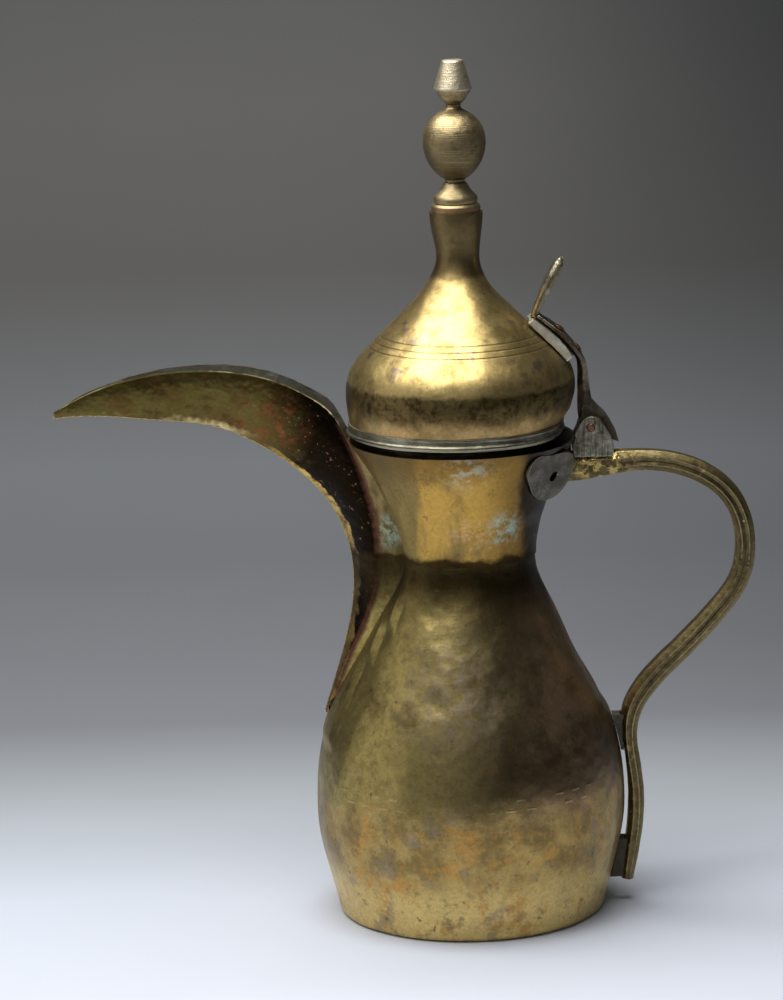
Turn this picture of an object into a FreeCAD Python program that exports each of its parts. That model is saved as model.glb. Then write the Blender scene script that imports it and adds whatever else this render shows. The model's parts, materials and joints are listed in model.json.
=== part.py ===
import FreeCAD, Part
import math
import os

# Arabian coffee pot (dallah) in beaten and brazed brass sheet. Millimetres.
# Origin: centre of the flat base. +Z up, +X towards the handle, -X towards the spout.
# The lid turns on the hinge pin, which lies along Y.

os.makedirs("parts", exist_ok=True)
V = FreeCAD.Vector
UP = V(0, 0, 1)
ORIGIN = V(0, 0, 0)

# --- driving dimensions: the pot ---------------------------------------------------------
SHEET = 1.5                 # thickness of the beaten sheet
BASE_PLATE_RADIUS = 72.0
BASE_PLATE_THICKNESS = 2.0
FOOT_CORNER_RADIUS = 76.6   # where the flat foot turns up into the wall
WALL_START = (80.4, 4.2)    # (radius, height) of the top of that turn
POT_OUTLINE = [             # outside of the body, (radius, height)
    WALL_START, (84.0, 19.0), (88.7, 37.0), (92.4, 57.0), (92.8, 72.0), (90.5, 96.0),
    (80.0, 131.0), (65.0, 161.0), (50.9, 191.0), (45.0, 206.0), (43.2, 218.0),
    (44.8, 231.0), (48.9, 246.0), (56.3, 266.0), (67.7, 286.5)]
LIP_Z = 286.5
WAIST_Z = 217.0             # joint between belly and neck
SEAM_Z = 85.0               # castellated joint between bowl and belly
CRAMP_COUNT = 44
CRAMP_HEIGHT = 6.0

# --- driving dimensions: the lid ---------------------------------------------------------
LID_OUTLINE = [             # outside of the dome and its chimney, (radius, height)
    (66.0, 298.0), (67.8, 308.0), (68.4, 317.0), (66.2, 327.5), (59.3, 337.2), (50.9, 346.2),
    (41.5, 355.6), (32.1, 365.0), (23.7, 374.0), (17.2, 383.5), (14.2, 391.0),
    (13.7, 400.0), (14.8, 410.0), (15.6, 418.0), (15.7, 421.0)]
RIM_OUTLINE = [             # section of the turned rim band
    (61.0, 291.6), (68.0, 291.6), (68.4, 292.2), (68.2, 293.2), (67.2, 293.9), (66.9, 296.2),
    (67.3, 296.9), (67.0, 297.8), (66.4, 298.0), (61.0, 298.0)]
RIM_FLAT_X = 64.5           # flat filed on the band beside the hinge
PLUG_RADIUS = 59.4          # sleeve that drops into the mouth of the neck
PLUG_BOTTOM_Z = 277.0
PLUG_COLLAR_RADIUS = 66.0
RIM_BOTTOM_Z = 291.6

# --- driving dimensions: the finial ------------------------------------------------------
SPINDLE_RADIUS = 3.0
SPINDLE_Z = (413.0, 500.0)
FERRULE_OUTLINE = [(14.0, 416.0), (14.0, 421.0), (14.5, 421.0), (14.5, 424.4), (13.2, 426.0)]
FOOT_OUTLINE = [(12.4, 426.0), (13.0, 427.0), (13.0, 429.2), (12.4, 430.4), (9.0, 434.0),
                (6.8, 438.0), (5.8, 438.4), (5.8, 439.6), (6.6, 440.3)]
BALL_OUTLINE = [(6.6, 440.3), (10.4, 443.2), (14.1, 447.6), (16.9, 453.2), (18.2, 458.8),
                (18.3, 463.6), (17.4, 468.6), (15.0, 473.3), (11.2, 477.3), (6.8, 480.0),
                (4.6, 481.6), (4.4, 483.6)]
TIP_OUTLINE = [(4.4, 483.6), (6.8, 486.0), (11.3, 492.8), (6.6, 508.6), (5.8, 509.5)]

# --- driving dimensions: the spout -------------------------------------------------------
# Free edge of the near cheek, then its fold down the neck and belly (x, y, z).
SPOUT_EDGE = [
    (-240.0, -2.6, 306.9), (-222.0, -3.2, 317.2), (-195.0, -5.4, 326.6), (-152.0, -10.2, 331.7),
    (-118.0, -13.2, 327.8), (-90.0, -14.8, 315.9), (-73.5, -17.5, 301.8), (-66.4, -18.4, 287.0),
    (-57.5, -19.0, 262.0), (-51.7, -18.0, 234.0), (-51.4, -16.8, 211.0), (-57.6, -14.4, 186.0),
    (-69.0, -10.6, 160.0), (-84.0, -3.4, 122.0)]
# Keel where the two cheeks are brazed together (x, z).
SPOUT_KEEL = [
    (-240.4, 304.9), (-208.0, 305.4), (-177.0, 302.2), (-149.0, 298.6), (-124.0, 288.8),
    (-100.0, 272.8), (-81.0, 253.2), (-69.2, 229.0), (-65.7, 205.0), (-69.4, 175.0),
    (-77.2, 148.0), (-85.2, 122.0)]
SPOUT_STATIONS = 24
KEEL_HALF_WIDTH = 0.9       # half the width of the brazed seam
KEEL_DEPTH = 2.4            # depth of the cheeks' edges at the seam
STRAINER_HOLE_RADIUS = 2.4
STRAINER_ROWS = [180.0, 188.5, 197.0, 205.5, 226.0, 234.5, 243.0, 251.5, 260.0]

# --- driving dimensions: the hinge and handle --------------------------------------------
PIN = V(76.1, 0, 291.7)
PIN_RADIUS = 2.25
KNUCKLE_BORE_RADIUS = 2.30
KNUCKLE_HALF_WIDTH = 4.0
SLOT_HALF_WIDTH = 4.35
SLOT_RADIUS = 21.2
EAR_THICKNESS = 4.0
EAR_OUTLINE = [             # tongue shape of the ears, (x, z) from foot to foot
    (66.2, 274.0), (65.0, 280.6), (65.8, 286.4), (68.8, 292.4), (72.0, 296.6), (76.3, 298.4),
    (80.8, 297.2), (84.4, 293.0), (87.6, 287.6), (89.6, 281.4), (88.8, 274.0)]
# Handle: centre line (x, z), half thickness, half width and depth of the side groove.
HANDLE_STATIONS = [
    (54.0, 267.4, 9.1, 8.35, 0.0), (75.0, 268.3, 8.2, 8.35, 0.0), (91.0, 269.6, 6.9, 8.1, 0.3),
    (104.0, 270.3, 6.3, 6.7, 1.2), (125.0, 268.0, 6.2, 6.5, 1.4), (143.0, 261.0, 6.2, 6.5, 1.4),
    (156.0, 250.6, 6.1, 6.5, 1.4), (164.2, 236.0, 6.0, 6.5, 1.4), (167.0, 217.0, 6.0, 6.5, 1.4),
    (163.0, 197.0, 6.1, 6.6, 1.4), (150.0, 178.2, 6.3, 6.8, 1.4), (130.0, 157.0, 6.5, 7.0, 1.3),
    (108.0, 134.8, 6.5, 7.2, 1.2), (98.0, 118.0, 6.0, 7.4, 0.9), (96.0, 103.0, 5.0, 7.5, 0.6),
    (98.2, 83.0, 5.0, 7.5, 0.5), (99.8, 62.0, 5.0, 7.4, 0.5), (98.2, 42.0, 4.8, 7.2, 0.5),
    (95.6, 26.0, 4.6, 7.0, 0.4), (93.6, 13.0, 3.8, 6.6, 0.2)]
HANDLE_SAMPLES = 46
PAD_HALF_WIDTH = 6.0        # packing blocks between the handle's tail and the belly
UPPER_PAD_Z = (94.0, 116.0)
FOOT_PAD_Z = (15.0, 39.0)
BRACKET_THICKNESS = 2.2
BRACKET_BAND = (24.0, 257.0, 278.5)     # half width and height range of the band round the neck
LUG_TOUCH = (57.5, 41.3, 267.0)         # radius, degrees from +X and height where a lug is tangent
LUG_LEAN = 24.0                         # the lugs lean out with the flare of the neck, degrees
LUG_OUTLINE = [                         # from the tangent point, (along, up) the lug's face
    (-13.4, 9.5), (-9.4, 18.3), (3.9, 17.4), (18.0, 16.8), (27.0, 12.5), (31.0, 4.0),
    (30.5, -5.5), (26.5, -12.4), (19.7, -15.8), (11.5, -15.8), (-1.6, -8.9), (-10.5, 1.5)]
LUG_PROUD = 1.2                         # the lug's face stands this far off the tangent plane
LUG_DEPTH = 18.0                        # enough for its back to meet the neck all over
LUG_HOLE = (13.8, 0.6, 3.1, 6.0)        # hole's centre in the same way, its radius and its depth

# --- driving dimensions: the lid's arm ---------------------------------------------------
# Strap: centre line (x, z), half thickness and half width, from its free end to the knuckle.
ARM_STATIONS = [
    (45.8, 358.6, 1.4, 6.5), (54.9, 351.5, 1.7, 11.0), (60.2, 346.9, 1.8, 12.0),
    (65.5, 340.6, 1.9, 12.0), (70.1, 333.7, 2.2, 9.8), (72.0, 327.2, 2.9, 7.4),
    (72.3, 320.4, 3.3, 5.4), (72.8, 312.0, 3.9, 4.2), (73.2, 304.0, 4.6, 4.0),
    (74.0, 296.0, 4.8, 4.0)]
KNUCKLE_OUTLINE = [         # (x, z), the barrel's round is added to it
    (72.0, 308.0), (76.6, 308.8), (80.4, 304.0), (84.8, 299.6), (88.0, 294.8), (91.0, 288.6),
    (93.2, 281.4), (84.0, 285.2), (76.1, 284.0), (69.9, 292.0)]
KNUCKLE_RADIUS = 8.0
ARM_PAD_OUTLINE = [
    (43.4, 358.0), (53.7, 350.3), (58.8, 345.8), (64.0, 339.5), (66.9, 335.2), (58.0, 328.0),
    (34.0, 352.0)]
ARM_PAD_HALF_WIDTH = 13.0
RIVET_SITES = [((59.6, 349.7), 44.0), ((69.2, 338.4), 38.0)]  # head's seat, degrees above +X
RIVET_RADIUS = 2.5
RIVET_HEAD_RADIUS = 4.6
RIVET_HEAD_HEIGHT = 1.9
# Thumb piece: centre line (x, z), half thickness and half width.
THUMB_STATIONS = [
    (44.2, 356.6, 2.0, 5.4), (47.2, 365.1, 2.3, 6.6), (51.4, 373.9, 2.8, 8.0),
    (55.4, 381.6, 3.0, 8.6), (59.0, 388.0, 2.8, 7.2), (61.2, 393.0, 1.7, 3.4)]


# --- helpers -----------------------------------------------------------------------------
def curve_through(points):
    """Smooth curve through the given points."""
    curve = Part.BSplineCurve()
    curve.interpolate([V(*p) for p in points])
    return curve


def wall_curve(outline):
    """Smooth curve through (radius, height) points, standing in the XZ plane."""
    return curve_through([(r, 0, z) for r, z in outline])


def parameter_at_height(curve, z):
    """Parameter where a rising wall curve reaches height z."""
    low, high = curve.FirstParameter, curve.LastParameter
    for _ in range(50):
        middle = (low + high) / 2
        if curve.value(middle).z < z:
            low = middle
        else:
            high = middle
    return low


def radius_at(curve, z):
    """Outside radius of a wall at height z."""
    return curve.value(parameter_at_height(curve, z)).x


def offset_point(curve, parameter, distance):
    """Point beside a wall curve, outwards for a positive distance."""
    direction = curve.tangent(parameter)[0]
    return curve.value(parameter) + V(direction.z, 0, -direction.x) * distance


def offset_piece(curve, first, last, distance, steps=30):
    """Smooth copy of a stretch of a wall curve, moved sideways."""
    points = []
    for i in range(steps + 1):
        parameter = first + (last - first) * i / steps
        points.append(tuple(offset_point(curve, parameter, distance)))
    return curve_through(points)


def segment(a, b):
    """Straight edge."""
    return Part.LineSegment(a, b).toShape()


def turned(edges):
    """Solid of revolution about Z from a closed loop of edges in the XZ plane."""
    face = Part.Face(Part.Wire(Part.__sortEdges__(edges)))
    solid = face.revolve(ORIGIN, UP, 360)
    return Part.Solid(solid) if solid.ShapeType == "Shell" else solid


def turned_polygon(points):
    """Solid of revolution from straight-sided (radius, height) points."""
    corners = [V(r, 0, z) for r, z in points]
    return turned([segment(a, b) for a, b in zip(corners, corners[1:] + corners[:1])])


def turned_core(outline):
    """Solid of revolution from the axis out to an open outline."""
    return turned_polygon([(0.0, outline[0][1])] + outline + [(0.0, outline[-1][1])])


def turned_sheet(curve, first, last, outer, inner):
    """Sheet of revolution that follows a wall curve between two offsets."""
    out_edge = offset_piece(curve, first, last, outer).toShape()
    in_edge = offset_piece(curve, first, last, inner).toShape()
    foot = segment(offset_point(curve, first, outer), offset_point(curve, first, inner))
    top = segment(offset_point(curve, last, outer), offset_point(curve, last, inner))
    return turned([out_edge, in_edge, foot, top])


def turned_envelope(curve, offset=0.0):
    """Solid filling everything inside a wall curve, moved outwards by offset."""
    first, last = curve.FirstParameter, curve.LastParameter
    wall = offset_piece(curve, first, last, offset)
    low, high = wall.value(wall.FirstParameter), wall.value(wall.LastParameter)
    return turned([wall.toShape(), segment(low, V(0, 0, low.z)), segment(high, V(0, 0, high.z)),
                   segment(V(0, 0, low.z), V(0, 0, high.z))])


def slab(points, half_width):
    """Prism along Y, centred on the XZ plane, from straight-sided (x, z) points."""
    corners = [V(x, -half_width, z) for x, z in points]
    face = Part.Face(Part.makePolygon(corners + corners[:1]))
    return face.extrude(V(0, 2 * half_width, 0))


def disc_along_y(centre, radius, y_low, y_high):
    """Cylinder along Y about a point of the XZ plane."""
    return Part.makeCylinder(radius, y_high - y_low, V(centre.x, y_low, centre.z), V(0, 1, 0))


def lofted(sections):
    """Smooth solid through closed wires."""
    return Part.makeLoft(sections, True)


def stations_along(rows, count):
    """Even samples of smooth curves through rows: position, side direction, other values."""
    centre = curve_through([(row[0], 0, row[1]) for row in rows])
    spans = [centre.parameter(V(row[0], 0, row[1])) for row in rows]
    samples = []
    for i in range(count):
        t = centre.FirstParameter + (centre.LastParameter - centre.FirstParameter) * i / (count - 1)
        k = max(j for j in range(len(rows) - 1) if spans[j] <= t + 1e-9)
        share = (t - spans[k]) / (spans[k + 1] - spans[k])
        values = [a + (b - a) * share for a, b in zip(rows[k][2:], rows[k + 1][2:])]
        along = centre.tangent(t)[0]
        samples.append((centre.value(t), V(-along.z, 0, along.x), values))
    return samples


def bar_section(centre, side, offsets):
    """Closed polygon square to a bar, from (side, y) offsets."""
    corners = [centre + side * s + V(0, y, 0) for s, y in offsets]
    return Part.makePolygon(corners + corners[:1])


def mirrored(shape):
    """Copy on the other side of the XZ plane."""
    return shape.mirror(ORIGIN, V(0, 1, 0))


def solid_of(shape):
    """The one largest solid of a boolean result."""
    return max(shape.Solids, key=lambda s: s.Volume)


POT_WALL = wall_curve(POT_OUTLINE)
LID_WALL = wall_curve(LID_OUTLINE)
POT_ENVELOPE = turned_envelope(POT_WALL)


# --- the pot -----------------------------------------------------------------------------
def foot_turn(inset):
    """Arc from the flat foot up into the wall, for the outside (0) or the inside (SHEET)."""
    start = V(FOOT_CORNER_RADIUS, 0, inset)
    end = offset_point(POT_WALL, POT_WALL.FirstParameter, -inset)
    middle = V((start.x + end.x) / 2 + 0.8, 0, (start.z + end.z) / 2 - 0.8)
    return start, Part.Arc(start, middle, end).toShape()


def lower_wall():
    """Bowl and belly in one, from the base plate up to the waist."""
    first = POT_WALL.FirstParameter
    last = parameter_at_height(POT_WALL, WAIST_Z)
    outer_start, outer_arc = foot_turn(0.0)
    inner_start, inner_arc = foot_turn(SHEET)
    outer_flat = V(BASE_PLATE_RADIUS, 0, 0)
    inner_flat = V(BASE_PLATE_RADIUS, 0, SHEET)
    return turned([
        segment(outer_flat, outer_start), outer_arc,
        offset_piece(POT_WALL, first, last, 0.0).toShape(),
        segment(offset_point(POT_WALL, last, 0.0), offset_point(POT_WALL, last, -SHEET)),
        offset_piece(POT_WALL, first, last, -SHEET).toShape(),
        inner_arc, segment(inner_start, inner_flat), segment(inner_flat, outer_flat)])


def below_the_seam():
    """Everything under the castellated seam: a drum with dovetail cramps on top."""
    low = SEAM_Z - CRAMP_HEIGHT / 2
    high = SEAM_Z + CRAMP_HEIGHT / 2
    drum = Part.makeCylinder(110, low + 1, V(0, 0, -1))
    root, tip = 2.7, 3.5
    corners = [V(75, -root, low), V(75, root, low), V(75, tip, high), V(75, -tip, high)]
    cramp = Part.Face(Part.makePolygon(corners + corners[:1])).extrude(V(35, 0, 0))
    cramps = []
    for i in range(CRAMP_COUNT):
        copy = cramp.copy()
        copy.rotate(ORIGIN, UP, 360.0 * (i + 0.5) / CRAMP_COUNT)
        cramps.append(copy)
    return drum.multiFuse(cramps)


def strainer_holes():
    """Staggered holes through the wall behind the spout."""
    holes = []
    for row, z in enumerate(STRAINER_ROWS):
        for y in ([-8.0, 0.0, 8.0] if row % 2 == 0 else [-4.0, 4.0]):
            holes.append(Part.makeCylinder(STRAINER_HOLE_RADIUS, 60, V(-90, y, z), V(1, 0, 0)))
    return Part.makeCompound(holes)


def base_plate():
    """Flat disc let into the foot of the bowl."""
    return Part.makeCylinder(BASE_PLATE_RADIUS, BASE_PLATE_THICKNESS)


def neck_shell():
    """Trumpet neck from the waist to the lip, which is filed level."""
    first = parameter_at_height(POT_WALL, WAIST_Z)
    wall = turned_sheet(POT_WALL, first, POT_WALL.LastParameter, 0.0, -SHEET)
    wall = wall.common(Part.makeCylinder(100, LIP_Z))
    return wall.cut(strainer_holes())


# --- the spout ---------------------------------------------------------------------------
def spout_planes():
    """Matching points of the folded edge and the keel, with the edge first."""
    edge = curve_through(SPOUT_EDGE)
    keel = curve_through([(x, -KEEL_HALF_WIDTH, z) for x, z in SPOUT_KEEL])
    edge_points = edge.discretize(SPOUT_STATIONS)
    keel_points = keel.discretize(SPOUT_STATIONS)
    return list(zip(edge_points, keel_points))


def cheek_face(keel, edge, depth, narrowing):
    """Swelling curve from the keel up to the edge, moved in by depth and narrowing."""
    points = []
    length = (V(edge.x, 0, edge.z) - V(keel.x, 0, keel.z)).Length
    start = min(depth, 0.4 * length) / length
    for share in (0.0, 0.2, 0.5, 0.8, 1.0):
        along = start + (1 - start) * share
        swell = math.sin(math.pi / 2 * share) ** 0.85
        width = KEEL_HALF_WIDTH + (-edge.y - narrowing - KEEL_HALF_WIDTH) * swell
        points.append((keel.x + (edge.x - keel.x) * along, -width,
                       keel.z + (edge.z - keel.z) * along))
    return curve_through(points)


def flange_ends(edge, keel):
    """Outer and inner end of the flange: into the pot's wall, or a small free lip."""
    if edge.z > LIP_Z:
        rise = (V(edge.x, 0, edge.z) - V(keel.x, 0, keel.z)).normalize() * 0.8
        return edge + rise + V(0, -0.4, 0), edge + rise + V(0, SHEET, 0)
    wall = radius_at(POT_WALL, edge.z)
    stand_off = max(0.0, math.hypot(edge.x, edge.y) - wall)
    y = edge.y - 0.5 - 0.8 * stand_off
    outer = V(-math.sqrt((wall - 1.2) ** 2 - y * y), y, edge.z)
    run = outer - edge
    return outer, outer + V(-run.y, run.x, 0).normalize() * SHEET


def near_cheek():
    """One side of the spout, its flange turned out along the neck and belly."""
    sections = []
    for edge, keel in spout_planes():
        outer = cheek_face(keel, edge, 0.0, 0.0)
        inner = cheek_face(keel, edge, KEEL_DEPTH, SHEET)
        flange_out, flange_in = flange_ends(edge, keel)
        inner_top = inner.value(inner.LastParameter)
        inner_foot = inner.value(inner.FirstParameter)
        sections.append(Part.Wire([
            outer.toShape(), segment(edge, flange_out), segment(flange_out, flange_in),
            segment(flange_in, inner_top), inner.toShape(), segment(inner_foot, keel)]))
    return solid_of(lofted(sections).cut(POT_ENVELOPE))


def keel_seam():
    """Bead of braze that joins the cheeks along the keel."""
    sections = []
    for edge, keel in spout_planes():
        rise = V(edge.x - keel.x, 0, edge.z - keel.z)
        depth = min(KEEL_DEPTH, 0.4 * rise.Length)
        rise.normalize()
        centre = V(keel.x, 0, keel.z)
        w = KEEL_HALF_WIDTH
        sections.append(bar_section(centre, rise, [
            (depth, -w), (-0.5, -w), (-1.1, 0.0), (-0.5, w), (depth, w)]))
    return solid_of(lofted(sections).cut(POT_ENVELOPE))


# --- the handle and its fixings ----------------------------------------------------------
def hinge_slot():
    """Saw cut that the knuckle turns in."""
    return disc_along_y(PIN, SLOT_RADIUS, -SLOT_HALF_WIDTH, SLOT_HALF_WIDTH)


def handle():
    """Cast grip with a grooved side, from the bracket round to the foot of the tail."""
    sections = []
    for centre, side, (thick, wide, groove) in stations_along(HANDLE_STATIONS, HANDLE_SAMPLES):
        flat = 0.55 * wide
        ridge = 0.38 * thick
        half = [(thick, flat), (ridge, wide), (0.0, wide - groove), (-ridge, wide), (-thick, flat)]
        sections.append(bar_section(centre, side, half + [(s, -y) for s, y in reversed(half)]))
    bar = lofted(sections)
    bar = bar.cut(turned_envelope(POT_WALL, BRACKET_THICKNESS))
    return solid_of(bar.cut(hinge_slot()))


def near_lug():
    """Round flat-faced lug, tangent to the neck and leaning out with its flare."""
    radius, degrees, height = LUG_TOUCH
    turn, lean = math.radians(degrees), math.radians(LUG_LEAN)
    along = V(math.sin(turn), math.cos(turn), 0)
    upward = V(math.cos(turn) * math.sin(lean), -math.sin(turn) * math.sin(lean), math.cos(lean))
    outward = along.cross(upward)
    touch = V(radius * math.cos(turn), -radius * math.sin(turn), height) + outward * LUG_PROUD

    def spot(run, rise):
        return touch + along * run + upward * rise

    edge = Part.BSplineCurve()
    edge.interpolate([spot(run, rise) for run, rise in LUG_OUTLINE], PeriodicFlag=True)
    lug = Part.Face(Part.Wire(edge.toShape())).extrude(outward * -LUG_DEPTH)
    run, rise, hole_radius, depth = LUG_HOLE
    return lug.cut(Part.makeCylinder(hole_radius, depth, spot(run, rise), outward * -1))


def handle_bracket(bar, ear):
    """Saddle that grips the neck: a band with a round lug on each side."""
    half_width, low, high = BRACKET_BAND
    band = Part.makeBox(90, 2 * half_width, high - low, V(0, -half_width, low))
    band = band.common(turned_envelope(POT_WALL, BRACKET_THICKNESS))
    lug = near_lug()
    bracket = band.multiFuse([lug, mirrored(lug)])
    for neighbour in (POT_ENVELOPE, bar, ear, mirrored(ear), hinge_slot()):
        bracket = bracket.cut(neighbour)
    return solid_of(bracket)


def tail_pad(z_range, bar):
    """Block of filler between the handle's tail and the belly."""
    low, high = z_range
    block = Part.makeBox(30, 2 * PAD_HALF_WIDTH, high - low, V(74, -PAD_HALF_WIDTH, low))
    return solid_of(block.cut(POT_ENVELOPE).cut(bar))


def near_ear(bar):
    """Hinge ear brazed on the handle's head, on the near side of the slot."""
    y_out = -SLOT_HALF_WIDTH - EAR_THICKNESS
    rim = curve_through([(x, y_out, z) for x, z in EAR_OUTLINE])
    foot = segment(rim.value(rim.LastParameter), rim.value(rim.FirstParameter))
    ear = Part.Face(Part.Wire([rim.toShape(), foot])).extrude(V(0, EAR_THICKNESS, 0))
    ear = ear.cut(POT_ENVELOPE).cut(bar)
    return solid_of(ear.cut(disc_along_y(PIN, PIN_RADIUS, -20, 20)))


def hinge_pin():
    """Copper pin held in both ears."""
    reach = SLOT_HALF_WIDTH + EAR_THICKNESS + 0.5
    return disc_along_y(PIN, PIN_RADIUS, -reach, reach)


# --- the lid -----------------------------------------------------------------------------
def lid_shell():
    """Onion dome drawn up into a chimney."""
    return turned_sheet(LID_WALL, LID_WALL.FirstParameter, LID_WALL.LastParameter, 0.0, -SHEET)


def filed_flat():
    """Room beside the hinge, taken off the rim band and the plug's collar."""
    return Part.makeBox(20, 120, 40, V(RIM_FLAT_X, -60, 280))


def lid_rim():
    """Turned band under the dome."""
    return turned_polygon(RIM_OUTLINE).cut(filed_flat())


def lid_plug():
    """Sleeve with a collar that centres the lid in the neck."""
    inner = PLUG_RADIUS - SHEET
    under = RIM_BOTTOM_Z - SHEET
    plug = turned_polygon([
        (inner, PLUG_BOTTOM_Z), (PLUG_RADIUS, PLUG_BOTTOM_Z), (PLUG_RADIUS, under),
        (PLUG_COLLAR_RADIUS, under), (PLUG_COLLAR_RADIUS, RIM_BOTTOM_Z), (inner, RIM_BOTTOM_Z)])
    return plug.cut(filed_flat())


def spindle():
    """Rod that threads the finial's pieces, with a peened head inside the chimney."""
    low, high = SPINDLE_Z
    rod = Part.makeCylinder(SPINDLE_RADIUS, high - low, V(0, 0, low))
    head = Part.makeCone(4.0, 6.0, 2.5, V(0, 0, FERRULE_OUTLINE[0][1] - 2.5))
    return rod.fuse(head).removeSplitter()


def finial_ball():
    """Egg-shaped ball, turned solid."""
    return turned_envelope(wall_curve(BALL_OUTLINE))


def arm_strap():
    """Crowned strap that lies over the dome, with the knuckle and its heel."""
    sections = []
    for centre, side, (thick, wide) in stations_along(ARM_STATIONS, 22):
        crown = 0.62 * wide
        sections.append(bar_section(centre, side, [
            (-thick, crown), (-0.1 * thick, wide), (thick, wide),
            (thick, -wide), (-0.1 * thick, -wide), (-thick, -crown)]))
    strap = lofted(sections)
    knuckle = slab(KNUCKLE_OUTLINE, KNUCKLE_HALF_WIDTH)
    barrel = disc_along_y(PIN, KNUCKLE_RADIUS, -KNUCKLE_HALF_WIDTH, KNUCKLE_HALF_WIDTH)
    arm = strap.multiFuse([knuckle, barrel])
    return solid_of(arm.cut(disc_along_y(PIN, KNUCKLE_BORE_RADIUS, -20, 20)))


def arm_pad(strap, dome):
    """Packing block between the strap and the dome."""
    block = slab(ARM_PAD_OUTLINE, ARM_PAD_HALF_WIDTH)
    return solid_of(block.cut(dome).cut(strap))


def thumb_piece(strap, pad, dome):
    """Leaf that the thumb pushes to lift the lid."""
    sections = []
    for centre, side, (thick, wide) in stations_along(THUMB_STATIONS, 14):
        edge = 0.35 * thick
        sections.append(bar_section(centre, side, [
            (-thick, 0.8 * wide), (-edge, wide), (edge, wide), (thick, 0.8 * wide),
            (thick, -0.8 * wide), (edge, -wide), (-edge, -wide), (-thick, -0.8 * wide)]))
    leaf = lofted(sections)
    return solid_of(leaf.cut(strap).cut(pad).cut(dome))


def rivet_axis(site):
    """Seat of the head and outward direction of one rivet."""
    (x, z), degrees = site
    angle = math.radians(degrees)
    return V(x, 0, z), V(math.cos(angle), 0, math.sin(angle))


def rivet_shank(site):
    """Shank, from inside the dome out to the head."""
    seat, outward = rivet_axis(site)
    return Part.makeCylinder(RIVET_RADIUS, 13.0, seat - outward * 12.0, outward)


def arm_rivet(site, strap, shell):
    """Copper rivet with a domed head outside and a bucked tail inside the dome."""
    seat, outward = rivet_axis(site)
    ball_radius = (RIVET_HEAD_RADIUS ** 2 + RIVET_HEAD_HEIGHT ** 2) / (2 * RIVET_HEAD_HEIGHT)
    ball = Part.makeSphere(ball_radius, seat + outward * (RIVET_HEAD_HEIGHT - ball_radius))
    room = Part.makeCylinder(RIVET_HEAD_RADIUS, 4.5, seat - outward * 2.0, outward)
    head = ball.common(room)
    tail = Part.makeCylinder(RIVET_RADIUS + 1.4, 3.2, seat - outward * 12.0, outward)
    rivet = rivet_shank(site).fuse(head.cut(strap)).fuse(tail.cut(shell))
    return solid_of(rivet.removeSplitter())


# --- assembly ----------------------------------------------------------------------------
def build_pot():
    """Every piece that stays with the pot."""
    wall = lower_wall()
    drum = below_the_seam()
    cheek = near_cheek()
    bar = handle()
    ear = near_ear(bar)
    return {
        "base_plate": base_plate(),
        "lower_bowl": solid_of(wall.common(drum)),
        "belly_shell": solid_of(wall.cut(drum).cut(strainer_holes())),
        "neck_shell": solid_of(neck_shell()),
        "spout_cheek_near": cheek,
        "spout_cheek_far": mirrored(cheek),
        "spout_keel_seam": keel_seam(),
        "handle": bar,
        "handle_bracket": handle_bracket(bar, ear),
        "handle_upper_pad": tail_pad(UPPER_PAD_Z, bar),
        "handle_foot_pad": tail_pad(FOOT_PAD_Z, bar),
        "hinge_ear_near": ear,
        "hinge_ear_far": mirrored(ear),
        "hinge_pin": hinge_pin()}


def build_lid():
    """Every piece that turns with the lid."""
    shell = lid_shell()
    dome = turned_envelope(LID_WALL)
    strap = arm_strap()
    pad = arm_pad(strap, dome)
    rivets = [arm_rivet(site, strap, shell) for site in RIVET_SITES]
    rod = spindle()
    pieces = {
        "lid_dome": shell,
        "lid_rim_band": lid_rim(),
        "lid_plug": lid_plug(),
        "finial_ferrule": turned_core(FERRULE_OUTLINE).cut(rod),
        "finial_foot": turned_core(FOOT_OUTLINE).cut(rod),
        "finial_ball": finial_ball().cut(rod),
        "finial_tip": turned_core(TIP_OUTLINE).cut(rod),
        "finial_spindle": rod,
        "lid_arm": strap,
        "lid_arm_pad": pad,
        "thumb_piece": thumb_piece(strap, pad, dome)}
    for site in RIVET_SITES:
        shank = rivet_shank(site)
        for node in ("lid_dome", "lid_arm", "lid_arm_pad"):
            pieces[node] = solid_of(pieces[node].cut(shank))
    pieces["lid_arm_rivets"] = Part.makeCompound(rivets)
    return pieces


def main():
    """Write one STEP file per piece."""
    pieces = {**build_pot(), **build_lid()}
    for node, shape in pieces.items():
        shape.exportStep("parts/" + node + ".step")
        print(node, "volume", round(shape.Volume), "valid", shape.isValid(),
              "solids", len(shape.Solids))


main()
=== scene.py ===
import json
import math
import random

import bpy
import numpy as np
from mathutils import Matrix, Vector
from mathutils.bvhtree import BVHTree


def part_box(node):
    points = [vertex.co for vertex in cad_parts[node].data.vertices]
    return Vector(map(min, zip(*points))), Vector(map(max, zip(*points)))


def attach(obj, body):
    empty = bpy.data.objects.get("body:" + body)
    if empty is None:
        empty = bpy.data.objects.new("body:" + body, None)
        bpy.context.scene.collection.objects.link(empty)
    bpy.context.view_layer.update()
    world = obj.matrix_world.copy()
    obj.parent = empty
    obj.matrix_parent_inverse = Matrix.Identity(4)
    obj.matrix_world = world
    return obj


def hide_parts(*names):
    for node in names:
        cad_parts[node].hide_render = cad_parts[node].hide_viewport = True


# Arabian coffee pot (dallah) in beaten and brazed brass. Metres.
# Origin: centre of the flat base. +Z up, +X towards the handle, -X towards the spout.

# --- camera, lights and floor ------------------------------------------------------------
CAMERA_AT = (-0.0422, -2.3959, 0.7617)
CAMERA_DOWN = 12.06         # degrees below the horizon
CAMERA_ROLL = -1.602
FOCAL_LENGTH = 148.96

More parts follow.
